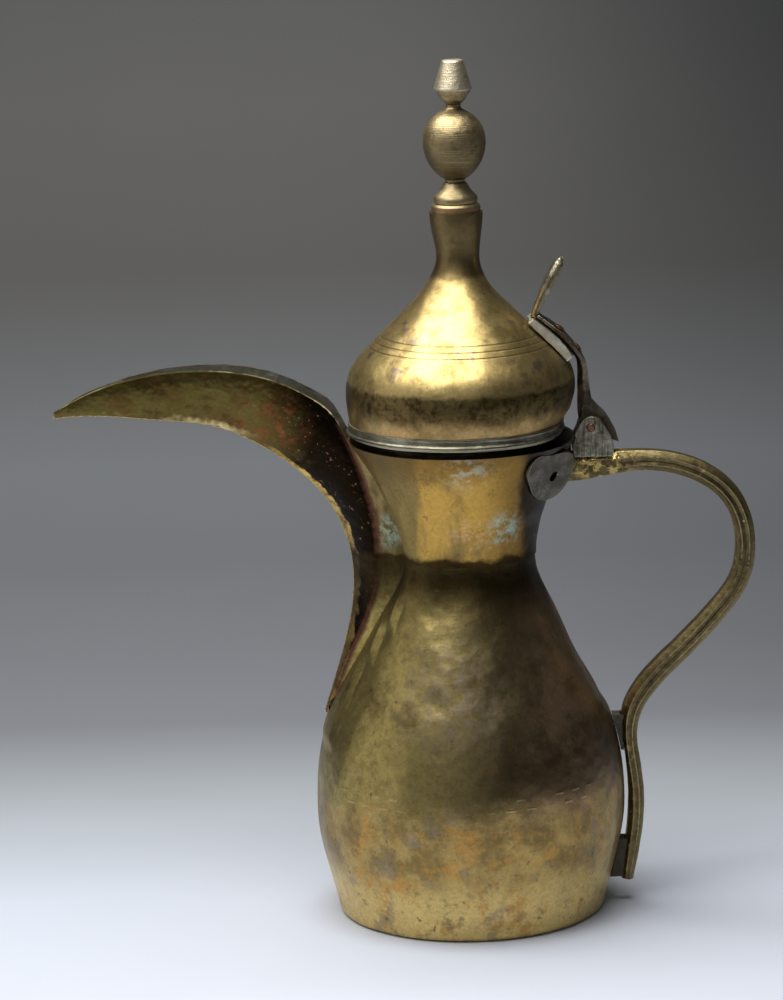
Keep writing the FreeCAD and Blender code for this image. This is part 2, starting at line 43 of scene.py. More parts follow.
KEY_AT = (-0.28, -0.06, 1.40)
KEY_SIZE = 1.25
KEY_POWER = 30.0
FILL_AT = (-0.7, -2.6, 1.7)
FILL_SIZE = 2.6
FILL_POWER = 8.0
SIDE_AT = (-1.6, -0.4, 0.60)
SIDE_SIZE = 1.4
SIDE_POWER = 3.4
ROOM_GREY = (0.062, 0.063, 0.066, 1.0)

FLOOR_FRONT = -0.75
FLOOR_HALF_WIDTH = 1.7
CURVE_START = 0.95
CURVE_RADIUS = 0.6
PAPER_TOP = 0.46            # low enough to look over it from behind
PAPER_SHADES = (            # (distance along the floor and up the wall, colour): painted falloff of light away from the pot
    (-0.20, (0.68, 0.72, 0.82)), (0.02, (0.58, 0.62, 0.715)), (0.23, (0.37, 0.40, 0.44)),
    (0.43, (0.205, 0.216, 0.243)), (0.64, (0.198, 0.208, 0.232)), (1.20, (0.232, 0.246, 0.268)),
    (1.55, (0.140, 0.138, 0.135)), (1.80, (0.165, 0.163, 0.160)), (2.30, (0.130, 0.136, 0.132)))

# --- sizes of the beaten walls -----------------------------------------------------------
AROUND = 600                # columns round a turned wall
PROFILE_AZIMUTH = -1.83     # the walls' profiles are read in this direction, clear of any hole
FIRST_SEED = 11             # of the hammer marks
EDGE_ANGLE = math.radians(42)
GROOVES = (0.3423, 0.3455, 0.3487)      # heights of the engraved lines on the dome
GROOVE_WIDTH = 0.00035
GROOVE_DEPTH = 0.00025
SEAM_Z = 0.085
SEAM_TEETH = 44
# The lid has been knocked in beside the hinge: share of the radius lost at each height.
KNOCK_HEIGHTS = (0.292, 0.298, 0.3046, 0.314, 0.327)
KNOCK_SHARES = (0.100, 0.085, 0.028, 0.008, 0.0)
KNOCK_HALF_ANGLE = math.radians(62)

STRAINER_ROWS = (0.1800, 0.1885, 0.1970, 0.2055, 0.2260, 0.2345, 0.2430, 0.2515, 0.2600)
STRAINER_RADIUS = 0.0024
STRAINER_PITCH = 0.0080     # between the holes of a row
STRAINER_X = (-0.090, -0.030)           # the cutting rods run between these

# --- spout: where its fold and its keel run, as (height, x) ------------------------------
SPOUT_FOLD = (
    (0.122, -0.0840), (0.160, -0.0690), (0.186, -0.0576), (0.211, -0.0514), (0.234, -0.0517),
    (0.262, -0.0575), (0.287, -0.0664), (0.302, -0.0735))
SPOUT_KEEL = (
    (0.122, -0.0852), (0.148, -0.0772), (0.175, -0.0694), (0.205, -0.0657), (0.229, -0.0692),
    (0.253, -0.0810), (0.273, -0.1000), (0.289, -0.1240), (0.300, -0.1600))

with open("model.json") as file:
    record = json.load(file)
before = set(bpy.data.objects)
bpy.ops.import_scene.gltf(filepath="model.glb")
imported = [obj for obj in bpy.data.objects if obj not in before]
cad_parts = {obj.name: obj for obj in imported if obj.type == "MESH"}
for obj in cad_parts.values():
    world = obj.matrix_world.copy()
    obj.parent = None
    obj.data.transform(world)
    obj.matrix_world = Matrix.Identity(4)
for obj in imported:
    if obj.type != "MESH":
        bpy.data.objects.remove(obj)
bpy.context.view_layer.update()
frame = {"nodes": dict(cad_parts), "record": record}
RECORD = frame["record"]
BODY_OF_NODE = {node: body for body, nodes in RECORD["behaviour"]["bodies"].items() for node in nodes}
SLOT_OF_NODE = {part["node"]: part["material_slot"] for part in RECORD["subparts"]}


# --- materials ---------------------------------------------------------------------------
class Paint:
    """Builds one procedural material on a Principled shader, in the part's own coordinates."""

    def __init__(self, name, metal=1.0):
        self.material = bpy.data.materials.new(name)
        self.material.use_nodes = True
        self.tree = self.material.node_tree
        self.shader = self.tree.nodes["Principled BSDF"]
        self.shader.inputs["Metallic"].default_value = metal
        self.place = self.make("ShaderNodeTexCoord").outputs["Object"]
        split = self.make("ShaderNodeSeparateXYZ")
        self.feed(split.inputs[0], self.place)
        self.x, self.y, self.z = split.outputs[0], split.outputs[1], split.outputs[2]

    def make(self, kind, **settings):
        node = self.tree.nodes.new(kind)
        for key, value in settings.items():
            setattr(node, key, value)
        return node

    def feed(self, socket, value):
        """Link a socket, or set its constant."""
        if isinstance(value, bpy.types.NodeSocket):
            self.tree.links.new(value, socket)
        else:
            socket.default_value = value

    def math(self, operation, first, second=0.0, clamp=False):
        node = self.make("ShaderNodeMath", operation=operation, use_clamp=clamp)
        self.feed(node.inputs[0], first)
        self.feed(node.inputs[1], second)
        return node.outputs[0]

    def stretched(self, stretch):
        node = self.make("ShaderNodeMapping")
        self.feed(node.inputs["Vector"], self.place)
        node.inputs["Scale"].default_value = stretch
        return node.outputs[0]

    def noise(self, scale, detail=3.0, rough=0.55, stretch=(1, 1, 1), twist=0.0):
        """Cloudy noise from 0 to 1. Scale is in clouds per metre."""
        node = self.make("ShaderNodeTexNoise")
        self.feed(node.inputs["Vector"], self.stretched(stretch))
        node.inputs["Scale"].default_value = scale
        node.inputs["Detail"].default_value = detail
        node.inputs["Roughness"].default_value = rough
        node.inputs["Distortion"].default_value = twist
        return node.outputs[0]

    def cells(self, scale, stretch=(1, 1, 1)):
        """Distance to the nearest of many scattered points."""
        node = self.make("ShaderNodeTexVoronoi")
        self.feed(node.inputs["Vector"], self.stretched(stretch))
        node.inputs["Scale"].default_value = scale
        return node.outputs["Distance"]

    def step(self, value, low, high):
        """0 below low, 1 above high, smooth between. Low may be the larger one."""
        node = self.make("ShaderNodeMapRange", interpolation_type="SMOOTHSTEP")
        self.feed(node.inputs["Value"], value)
        turned = low > high
        node.inputs["From Min"].default_value = min(low, high)
        node.inputs["From Max"].default_value = max(low, high)
        node.inputs["To Min"].default_value = 1.0 if turned else 0.0
        node.inputs["To Max"].default_value = 0.0 if turned else 1.0
        return node.outputs[0]

    def band(self, value, middle, half_width):
        """1 at the middle of a band, 0 beyond its half width."""
        off = self.math("ABSOLUTE", self.math("SUBTRACT", value, middle))
        return self.step(off, half_width, 0.25 * half_width)

    def curve(self, points):
        """x of a line in the XZ plane that passes through some (height, x) points."""
        low, high = points[0][0], points[-1][0]
        least = min(x for _, x in points)
        most = max(x for _, x in points)
        node = self.make("ShaderNodeFloatCurve")
        share = self.make("ShaderNodeMapRange")
        self.feed(share.inputs["Value"], self.z)
        share.inputs["From Min"].default_value = low
        share.inputs["From Max"].default_value = high
        self.feed(node.inputs["Value"], share.outputs[0])
        spots = [((z - low) / (high - low), (x - least) / (most - least)) for z, x in points]
        line = node.mapping.curves[0]
        line.points[0].location = spots[0]
        line.points[-1].location = spots[-1]
        for spot in spots[1:-1]:
            line.points.new(*spot)
        node.mapping.update()
        back = self.math("MULTIPLY_ADD", node.outputs[0], most - least)
        back.node.inputs[2].default_value = least
        return back

    def near(self, point, radius):
        """1 at a point, fading to 0 at the radius."""
        node = self.make("ShaderNodeVectorMath", operation="DISTANCE")
        self.feed(node.inputs[0], self.place)
        node.inputs[1].default_value = point
        return self.step(node.outputs["Value"], radius, 0.2 * radius)

    def mix(self, factor, first, second, mode="MIX"):
        """Blend of two colours."""
        node = self.make("ShaderNodeMix", data_type="RGBA", blend_type=mode)
        self.feed(node.inputs[0], factor)
        self.feed(node.inputs[6], first)
        self.feed(node.inputs[7], second)
        return node.outputs[2]

    def blend(self, factor, first, second):
        """Blend of two numbers."""
        node = self.make("ShaderNodeMix")
        self.feed(node.inputs[0], factor)
        self.feed(node.inputs[2], first)
        self.feed(node.inputs[3], second)
        return node.outputs[0]

    def inside(self):
        """1 on faces that look towards the XZ plane, as in the spout's channel."""
        split = self.make("ShaderNodeSeparateXYZ")
        self.feed(split.inputs[0], self.make("ShaderNodeTexCoord").outputs["Normal"])
        outward = self.math("MULTIPLY", self.y, split.outputs[1])
        return self.step(outward, -0.0008, -0.0025)

    def edges(self, low=0.51, high=0.56):
        """1 on worn convex edges."""
        return self.step(self.make("ShaderNodeNewGeometry").outputs["Pointiness"], low, high)

    def hollows(self, low=0.49, high=0.44):
        """1 in concave corners."""
        return self.step(self.make("ShaderNodeNewGeometry").outputs["Pointiness"], low, high)

    def relief(self, height, depth, strength=1.0):
        """Adds a bump of the given depth in metres to the ones before it."""
        node = self.make("ShaderNodeBump")
        node.inputs["Strength"].default_value = strength
        node.inputs["Distance"].default_value = depth
        self.feed(node.inputs["Height"], height)
        before = self.shader.inputs["Normal"]
        if before.is_linked:
            self.feed(node.inputs["Normal"], before.links[0].from_socket)
        self.feed(before, node.outputs[0])

    def gritty(self, colour):
        """Colour with a fine grain of dirt and bright pores."""
        grain = self.step(self.noise(480, 5.0, 0.75), 0.30, 0.70)
        shade = self.mix(grain, rgb(0.84, 0.83, 0.81), rgb(1.10, 1.10, 1.08))
        return self.mix(1.0, colour, shade, "MULTIPLY")

    def finish(self, colour, roughness, metal=None):
        self.feed(self.shader.inputs["Base Color"], colour)
        self.feed(self.shader.inputs["Roughness"], roughness)
        if metal is not None:
            self.feed(self.shader.inputs["Metallic"], metal)
        return self.material


def rgb(red, green, blue):
    return (red, green, blue, 1.0)


def specks(paint, scale, low, high):
    """Small scattered spots where a fine noise peaks."""
    return paint.step(paint.noise(scale, detail=2.0), low, high)


def fine_scratches(paint, depth=0.00004):
    """Hair scratches running every way, and a fine pitting."""
    paint.relief(paint.noise(900, 4.0, stretch=(1, 1, 0.08)), depth)
    paint.relief(paint.noise(800, 4.0, stretch=(0.1, 1, 1)), depth)
    paint.relief(paint.noise(1600, 3.0), depth)


def castellated_seam(paint):
    """1 on the thin zigzag line where the bowl is cramped and brazed to the belly."""
    turn = paint.math("ARCTAN2", paint.y, paint.x)
    wave = paint.math("SINE", paint.math("MULTIPLY", turn, SEAM_TEETH))
    square = paint.math("SUBTRACT", paint.math("MULTIPLY", paint.step(wave, -0.12, 0.12), 2.0), 1.0)
    height = paint.math("MULTIPLY_ADD", square, 0.003)
    height.node.inputs[2].default_value = SEAM_Z
    off = paint.math("ABSOLUTE", paint.math("SUBTRACT", paint.z, height))
    return paint.step(off, 0.0009, 0.0002)


def painted_waist_shade(paint, colour):
    """Painted shade: a brown-black band with a torn edge, where the neck meets the belly."""
    torn = paint.math("MULTIPLY_ADD", paint.noise(70, 4.0), 0.014)
    paint.feed(torn.node.inputs[2], paint.z)
    band = paint.math("MULTIPLY", paint.step(torn, 0.2305, 0.2265), paint.step(torn, 0.184, 0.217))
    return paint.mix(paint.math("MULTIPLY", band, 0.92), colour, rgb(0.034, 0.022, 0.008))


def aged_body():
    """Beaten sheet: brown patina above, rubbed and golden round the foot, with painted light on its sides
    and bands of painted shade.
    """
    paint = Paint("aged_brass_body")
    clouds = paint.noise(14, 5.0, 0.6, twist=0.6)
    mottle = paint.noise(55, 6.0, 0.65)
    fine = paint.noise(160, 5.0, 0.7)
    patina = paint.mix(clouds, rgb(0.16, 0.122, 0.05), rgb(0.245, 0.195, 0.095))
    # Painted light: the olive-gold left side of the belly is made lighter where the light falls.
    left = paint.math("MULTIPLY", paint.step(paint.x, 0.030, -0.060), 0.85)
    patina = paint.mix(left, patina, rgb(0.52, 0.41, 0.145))
    patina = paint.mix(paint.step(mottle, 0.48, 0.76), patina, rgb(0.20, 0.145, 0.06))
    grime = paint.math("MULTIPLY", paint.step(fine, 0.42, 0.66), 0.45)
    patina = paint.mix(grime, patina, rgb(0.145, 0.105, 0.045))
    blush = paint.math("MULTIPLY", paint.near((-0.01, -0.08, 0.150), 0.055), paint.step(fine, 0.4, 0.6))
    patina = paint.mix(paint.math("MULTIPLY", blush, 0.5), patina, rgb(0.36, 0.285, 0.22))
    # Reddish patina on the handle side, made lighter as painted light.
    red = paint.math("MULTIPLY", paint.step(paint.x, 0.015, 0.055), paint.step(mottle, 0.25, 0.55))
    patina = paint.mix(paint.math("MULTIPLY", red, 0.8), patina, rgb(0.50, 0.33, 0.19))
    gold = paint.mix(paint.step(mottle, 0.38, 0.62), rgb(0.42, 0.30, 0.11), rgb(0.24, 0.165, 0.06))
    gold = paint.mix(paint.step(paint.z, 0.050, 0.018), gold, rgb(0.66, 0.49, 0.19))
    rust = paint.math("MULTIPLY", paint.step(paint.noise(70, 7.0, 0.72), 0.50, 0.64), 0.75)
    gold = paint.mix(rust, gold, rgb(0.50, 0.27, 0.07))
    dull = paint.math("MULTIPLY", paint.step(paint.noise(105, 7.0, 0.75), 0.52, 0.68), 0.65)
    gold = paint.mix(dull, gold, rgb(0.17, 0.125, 0.065))
    grey = paint.math("MULTIPLY", paint.step(paint.noise(46, 5.0, 0.65), 0.56, 0.64), 0.5)
    gold = paint.mix(grey, gold, rgb(0.22, 0.18, 0.145))
    height = paint.math("MULTIPLY_ADD", mottle, 0.03)
    paint.feed(height.node.inputs[2], paint.z)
    rubbed = paint.step(height, 0.108, 0.080)
    colour = paint.mix(rubbed, patina, gold)
    # Painted shade: a dark band above the golden foot, strongest on the handle side.
    painted_shade_band = paint.math("MULTIPLY", paint.step(height, 0.150, 0.120), paint.step(height, 0.090, 0.108))
    painted_shade_band = paint.math("MULTIPLY", painted_shade_band, paint.blend(paint.step(paint.x, -0.04, 0.06), 0.10, 0.85))
    colour = paint.mix(painted_shade_band, colour, rgb(0.085, 0.055, 0.028))
    colour = painted_waist_shade(paint, colour)
    stain = paint.step(paint.noise(230, 3.0), 0.67, 0.73)
    colour = paint.mix(paint.math("MULTIPLY", stain, 0.7), colour, rgb(0.12, 0.085, 0.05))
    dots = paint.step(paint.cells(210), 0.10, 0.05)
    few = paint.step(paint.noise(30, 2.0), 0.52, 0.66)
    colour = paint.mix(paint.math("MULTIPLY", dots, few), colour, rgb(0.10, 0.06, 0.04))
    seam = paint.math("MULTIPLY", castellated_seam(paint), paint.step(paint.noise(26), 0.48, 0.60))
    colour = paint.mix(paint.math("MULTIPLY", seam, 0.35), colour, rgb(0.58, 0.46, 0.25))
    paint.relief(paint.noise(40, 2.0), 0.0020, 0.6)
    paint.relief(paint.cells(105), 0.0006, 0.45)
    paint.relief(seam, 0.0002, 0.5)
    paint.relief(fine, 0.00025, 0.5)
    fine_scratches(paint)
    return paint.finish(paint.gritty(colour), paint.blend(fine, 0.24, 0.50))


def polished_neck():
    """Rubbed neck with verdigris and pink stains; olive on the left is painted reflection, and the browner
    handle side and top are painted shade.
    """
    paint = Paint("polished_brass_neck")
    clouds = paint.noise(22, 5.0, 0.6, twist=0.5)
    streaks = paint.noise(60, 5.0, 0.6, stretch=(1, 1, 0.3))
    fine = paint.noise(180, 5.0, 0.7)
    gold = paint.mix(clouds, rgb(0.60, 0.37, 0.085), rgb(0.44, 0.265, 0.062))
    colour = paint.mix(paint.step(streaks, 0.50, 0.72), gold, rgb(0.28, 0.19, 0.065))
    shift = paint.math("MULTIPLY_ADD", streaks, 0.016)
    paint.feed(shift.node.inputs[2], paint.x)
    # Painted reflection: olive on the left side of the neck, which is also rougher.
    olive = paint.step(shift, -0.016, -0.022)
    colour = paint.mix(paint.math("MULTIPLY", olive, 0.8), colour, rgb(0.24, 0.185, 0.075))
    # Painted shade: darker brown on the handle side and at the top under the lid.
    painted_shade_right_and_top = paint.math("MAXIMUM", paint.step(paint.x, 0.004, 0.030), paint.step(paint.z, 0.262, 0.284))
    colour = paint.mix(paint.math("MULTIPLY", painted_shade_right_and_top, 0.70), colour, rgb(0.16, 0.09, 0.026))
    vein = paint.math("ABSOLUTE", paint.math("SUBTRACT", paint.noise(75, 6.0, 0.65), 0.5))
    here = paint.step(paint.noise(48, 3.0), 0.50, 0.58)
    crack = paint.math("MULTIPLY", paint.step(vein, 0.010, 0.004), here)
    colour = paint.mix(paint.math("MULTIPLY", crack, 0.7), colour, rgb(0.13, 0.08, 0.03))
    # Painted shade: near black on the far handle side of the neck.
    brown = paint.math("MULTIPLY", paint.step(shift, 0.038, 0.046), 0.96)
    colour = paint.mix(brown, colour, rgb(0.020, 0.014, 0.010))
    torn = paint.step(paint.noise(120, 5.0, 0.7), 0.46, 0.64)
    green = paint.math("MULTIPLY", paint.near((0.024, -0.041, 0.238), 0.017), torn)
    colour = paint.mix(green, colour, rgb(0.34, 0.44, 0.36))
    pink = paint.math("MULTIPLY", paint.near((0.004, -0.045, 0.236), 0.016), torn)
    colour = paint.mix(paint.math("MULTIPLY", pink, 0.6), colour, rgb(0.56, 0.38, 0.28))
    pale = paint.math("MULTIPLY", paint.near((0.002, -0.062, 0.278), 0.020), torn)
    colour = paint.mix(paint.math("MULTIPLY", pale, 0.8), colour, rgb(0.46, 0.42, 0.30))
    spots = specks(paint, 150, 0.69, 0.74)
    colour = paint.mix(paint.math("MULTIPLY", spots, 0.7), colour, rgb(0.20, 0.13, 0.06))
    colour = painted_waist_shade(paint, colour)
    paint.relief(paint.noise(60, 2.0, stretch=(1, 1, 0.35)), 0.0012, 0.5)
    paint.relief(paint.cells(90), 0.0004, 0.4)
    paint.relief(fine, 0.0002, 0.4)
    fine_scratches(paint)
    sheen = paint.blend(streaks, 0.24, 0.44)
    return paint.finish(paint.gritty(colour), paint.blend(olive, sheen, 0.50))


def polished_lid():
    """Dome: bright rubbed brass with purple-grey spots, a browner chimney, and a band of painted shade round
    its widest part.
    """
    paint = Paint("polished_brass_lid")
    clouds = paint.noise(24, 5.0, 0.6, twist=0.5)
    mottle = paint.noise(75, 5.0, 0.65)
    fine = paint.noise(200, 5.0, 0.7)
    gold = paint.mix(clouds, rgb(0.62, 0.47, 0.20), rgb(0.42, 0.315, 0.125))
    colour = paint.mix(paint.step(mottle, 0.46, 0.66), gold, rgb(0.32, 0.235, 0.095))
    torn = paint.math("MULTIPLY_ADD", mottle, 0.008)
    paint.feed(torn.node.inputs[2], paint.z)
    colour = paint.mix(paint.step(torn, 0.3855, 0.3885), colour, rgb(0.21, 0.155, 0.07))
    low = paint.step(paint.z, 0.325, 0.305)
    brown = paint.mix(paint.step(mottle, 0.35, 0.65), rgb(0.30, 0.20, 0.075), rgb(0.62, 0.40, 0.17))
    brown = paint.mix(paint.step(fine, 0.52, 0.68), brown, rgb(0.30, 0.27, 0.13))
    colour = paint.mix(paint.math("MULTIPLY", low, 0.85), colour, brown)
    spots = paint.math("MULTIPLY", paint.step(paint.noise(88, 3.0, 0.55), 0.61, 0.66), 0.72)
    spots = paint.math("MULTIPLY", spots, paint.band(paint.z, 0.345, 0.035))
    colour = paint.mix(spots, colour, rgb(0.22, 0.175, 0.155))
    dots = paint.math("MULTIPLY", paint.step(paint.cells(130), 0.10, 0.05), 0.7)
    colour = paint.mix(dots, colour, rgb(0.22, 0.155, 0.10))
    lines = paint.band(paint.z, GROOVES[0], 0.0008)
    for height in GROOVES[1:]:
        lines = paint.math("MAXIMUM", lines, paint.band(paint.z, height, 0.0008))
    lines = paint.math("MULTIPLY", lines, paint.blend(paint.step(clouds, 0.35, 0.65), 0.10, 0.4))
    ragged = paint.math("MULTIPLY_ADD", clouds, 0.024)
    paint.feed(ragged.node.inputs[2], paint.z)
    # Painted shade: a dark band round the widest part of the dome.
    shade = paint.math("MULTIPLY", paint.step(ragged, 0.3150, 0.3240), paint.step(torn, 0.3275, 0.3245))
    shade = paint.math("MULTIPLY", shade, paint.blend(paint.step(fine, 0.35, 0.60), 0.95, 0.65))
    colour = paint.mix(shade, colour, rgb(0.050, 0.034, 0.012))
    colour = paint.mix(lines, colour, rgb(0.22, 0.15, 0.06))
    paint.relief(paint.noise(55, 2.0), 0.0014, 0.5)
    paint.relief(paint.cells(90), 0.0005, 0.4)
    paint.relief(fine, 0.00015, 0.4)
    fine_scratches(paint)
    return paint.finish(paint.gritty(colour), paint.blend(mottle, 0.30, 0.50))


def aged_spout():
    """Olive-brown cheeks, black-brown painted shade at the root, a golden painted highlight by the keel,
    pewter inside.
    """
    paint = Paint("aged_brass_spout")
    clouds = paint.noise(28, 5.0, 0.6, twist=0.4)
    mottle = paint.noise(110, 6.0, 0.7)
    streaks = paint.noise(70, 5.0, 0.65, stretch=(1, 1, 0.3))
    colour = paint.mix(clouds, rgb(0.080, 0.060, 0.016), rgb(0.155, 0.118, 0.036))
    rusty = paint.math("MULTIPLY", paint.step(paint.noise(48, 4.0), 0.48, 0.62), 0.6)
    colour = paint.mix(rusty, colour, rgb(0.115, 0.058, 0.018))
    colour = paint.mix(paint.step(mottle, 0.50, 0.74), colour, rgb(0.060, 0.042, 0.013))
    ragged = paint.math("MULTIPLY_ADD", mottle, 0.05)
    paint.feed(ragged.node.inputs[2], paint.x)
    # Painted shade: near black on the cheeks where they meet the pot.
    root = paint.math("MULTIPLY", paint.step(ragged, -0.098, -0.060), 0.97)
    colour = paint.mix(root, colour, rgb(0.008, 0.005, 0.003))
    blush = paint.math("MULTIPLY", paint.near((-0.112, -0.010, 0.300), 0.030), paint.step(mottle, 0.48, 0.6))
    colour = paint.mix(paint.math("MULTIPLY", blush, 0.7), colour, rgb(0.23, 0.085, 0.03))
    red = paint.math("MULTIPLY", specks(paint, 420, 0.66, 0.73), paint.step(paint.x, -0.15, -0.10))
    colour = paint.mix(paint.math("MULTIPLY", red, 0.8), colour, rgb(0.30, 0.14, 0.08))
    keel_gap = paint.math("SUBTRACT", paint.x, paint.curve(SPOUT_KEEL))
    strip = paint.math("MULTIPLY_ADD", mottle, 0.009)
    paint.feed(strip.node.inputs[2], keel_gap)
    # Painted highlight: a golden strip along the keel towards the tip.
    gold = paint.math("MULTIPLY", paint.step(strip, 0.0085, 0.0070), paint.step(paint.x, -0.125, -0.09))
    painted_keel_highlight = paint.mix(paint.step(mottle, 0.40, 0.60), rgb(0.72, 0.48, 0.14), rgb(0.30, 0.185, 0.05))
    colour = paint.mix(gold, colour, painted_keel_highlight)
    fold_gap = paint.math("SUBTRACT", paint.x, paint.curve(SPOUT_FOLD))
    on_pot = paint.step(paint.z, 0.302, 0.298)
    flange = paint.math("MULTIPLY", paint.step(fold_gap, 0.0004, 0.0014), on_pot)
    # The flange's olive copies the neck's painted olive reflection beside it.
    olive = paint.mix(paint.step(streaks, 0.42, 0.60), rgb(0.13, 0.095, 0.035), rgb(0.32, 0.24, 0.10))
    stain = paint.math("MULTIPLY", paint.near((-0.046, -0.022, 0.236), 0.014), paint.step(mottle, 0.44, 0.6))
    olive = paint.mix(stain, olive, rgb(0.34, 0.40, 0.29))
    # Painted light: the flange is lighter below the waist, against the dark it mirrors.
    lower = paint.step(paint.z, 0.214, 0.206)
    belly = paint.mix(paint.step(mottle, 0.40, 0.62), rgb(0.50, 0.39, 0.14), rgb(0.30, 0.225, 0.08))
    olive = paint.mix(lower, olive, belly)
    colour = paint.mix(flange, colour, olive)
    # Painted shade: a reddish dark line in the crease along the fold.
    painted_crease_shade = paint.math("MULTIPLY", paint.band(fold_gap, 0.0002, 0.0030), on_pot)
    colour = paint.mix(paint.math("MULTIPLY", painted_crease_shade, 0.8), colour, rgb(0.13, 0.055, 0.035))
    colour = painted_waist_shade(paint, colour)
    worn = paint.math("MULTIPLY", paint.edges(), paint.step(paint.noise(90), 0.38, 0.52))
    worn = paint.math("MULTIPLY", worn, paint.step(paint.z, 0.288, 0.296))
    colour = paint.mix(worn, colour, rgb(0.82, 0.64, 0.30))
    pewter = paint.mix(streaks, rgb(0.62, 0.63, 0.57), rgb(0.42, 0.42, 0.37))
    colour = paint.mix(paint.inside(), colour, pewter)
    paint.relief(paint.noise(90, 2.0), 0.0016, 0.7)
    paint.relief(paint.cells(240), 0.0002, 0.4)
    fine_scratches(paint)
    sheen = paint.blend(mottle, 0.26, 0.44)
    return paint.finish(paint.gritty(colour), paint.blend(flange, sheen, 0.52))


def braze():
    """Lumpy golden filler metal."""
    paint = Paint("braze")
    lumps = paint.noise(260, 5.0, 0.7)
    colour = paint.mix(lumps, rgb(0.30, 0.20, 0.07), rgb(0.86, 0.66, 0.28))
    paint.relief(lumps, 0.0012, 0.8)
    paint.relief(paint.noise(900, 3.0), 0.0002, 0.6)
    return paint.finish(colour, paint.blend(lumps, 0.5, 0.3))


def cast_handle():
    """Cast bar: dark in the grooves, golden on the ridges, with long file marks and braze."""
    paint = Paint("cast_brass_handle")
    grain = paint.noise(170, 6.0, 0.7)
    clouds = paint.noise(34, 5.0, 0.6, twist=0.4)
    dull = paint.mix(clouds, rgb(0.17, 0.13, 0.06), rgb(0.30, 0.24, 0.115))
    colour = paint.mix(paint.step(grain, 0.46, 0.74), dull, rgb(0.16, 0.125, 0.06))
    side = paint.math("ABSOLUTE", paint.y)
    groove = paint.math("MULTIPLY", paint.step(side, 0.0044, 0.0058), paint.step(grain, 0.62, 0.42))
    colour = paint.mix(paint.math("MULTIPLY", groove, 0.75), colour, rgb(0.075, 0.055, 0.03))
    colour = paint.mix(paint.edges(0.51, 0.545), colour, rgb(0.50, 0.40, 0.19))
    colour = paint.mix(paint.hollows(0.492, 0.46), colour, rgb(0.03, 0.022, 0.013))
    torn = paint.step(paint.noise(150, 5.0, 0.7), 0.47, 0.56)
    crust = paint.math("MULTIPLY", paint.near((0.082, -0.007, 0.268), 0.026), torn)
    colour = paint.mix(crust, colour, rgb(0.74, 0.56, 0.20))
    patches = paint.math("MULTIPLY", paint.step(paint.noise(38, 3.0), 0.60, 0.66), torn)
    colour = paint.mix(paint.math("MULTIPLY", patches, 0.6), colour, rgb(0.58, 0.44, 0.19))
    paint.relief(crust, 0.0008, 0.8)
    paint.relief(grain, 0.0004, 0.6)
    paint.relief(paint.noise(300, 3.0, stretch=(0.3, 0.3, 1)), 0.0005, 0.6)
    fine_scratches(paint)
    return paint.finish(paint.gritty(colour), paint.blend(grain, 0.32, 0.54))


def tinned(name, light, dark, stretch, filed=0.8):
    """Grey-brown tinned brass. File marks are long where the stretch is small."""
    paint = Paint(name)
    grain = paint.noise(210, 5.0, 0.65)
    clouds = paint.noise(90, 5.0, 0.65)
    marks = paint.noise(900, 4.0, 0.65, stretch=stretch)
    colour = paint.mix(paint.step(clouds, 0.38, 0.62), dark, light)
    cut = paint.math("MULTIPLY", paint.step(marks, 0.44, 0.62), filed)
    colour = paint.mix(cut, colour, rgb(0.10, 0.085, 0.06))
    dirt = paint.math("MULTIPLY", paint.step(grain, 0.52, 0.70), filed)
    colour = paint.mix(dirt, colour, rgb(0.11, 0.090, 0.06))
    colour = paint.mix(paint.edges(0.515, 0.57), colour, rgb(0.50, 0.45, 0.31))
    colour = paint.mix(paint.hollows(), colour, rgb(0.03, 0.028, 0.022))
    paint.relief(marks, 0.0003, 0.7)
    paint.relief(grain, 0.0004, 0.5)
    return paint.finish(colour, paint.blend(grain, 0.30, 0.52))


def dark_filler():
    """Rough dark packing under the handle's tail."""
    paint = Paint("dark_filler", metal=0.2)
    lumps = paint.noise(300, 5.0, 0.7)
    colour = paint.mix(lumps, rgb(0.035, 0.028, 0.020), rgb(0.13, 0.105, 0.07))
    paint.relief(lumps, 0.0012, 0.8)
    return paint.finish(colour, 0.8)


def turned_finial():
    """Satin brass with turning lines and brown in the hollows."""
    paint = Paint("finial_brass")
    clouds = paint.noise(70, 5.0, 0.65)
    colour = paint.mix(clouds, rgb(0.46, 0.37, 0.205), rgb(0.31, 0.24, 0.12))
    brown = paint.math("MULTIPLY", paint.step(paint.noise(120, 6.0, 0.7), 0.48, 0.64), 0.65)
    brown = paint.math("MULTIPLY", brown, paint.step(paint.z, 0.436, 0.446))
    colour = paint.mix(brown, colour, rgb(0.17, 0.115, 0.05))
    under = paint.math("MULTIPLY", paint.step(paint.z, 0.470, 0.447), paint.step(paint.z, 0.438, 0.441))
    colour = paint.mix(paint.math("MULTIPLY", under, 0.85), colour, rgb(0.12, 0.085, 0.035))
    colour = paint.mix(paint.step(paint.z, 0.4915, 0.4930), colour, rgb(0.66, 0.58, 0.41))
    colour = paint.mix(specks(paint, 260, 0.66, 0.74), colour, rgb(0.22, 0.17, 0.09))
    collar = paint.math("MULTIPLY", paint.band(paint.z, 0.4225, 0.0030), 0.7)
    colour = paint.mix(collar, colour, rgb(0.36, 0.20, 0.11))
    colour = paint.mix(paint.hollows(), colour, rgb(0.09, 0.065, 0.035))
    lines = paint.noise(1300, 3.0, 0.6, stretch=(0.03, 0.03, 1))
    colour = paint.mix(paint.step(lines, 0.56, 0.70), colour, rgb(0.34, 0.27, 0.14))
    paint.relief(lines, 0.0003, 0.7)
    paint.relief(paint.noise(420, 3.0), 0.0003, 0.6)
    return paint.finish(colour, paint.blend(clouds, 0.38, 0.52))


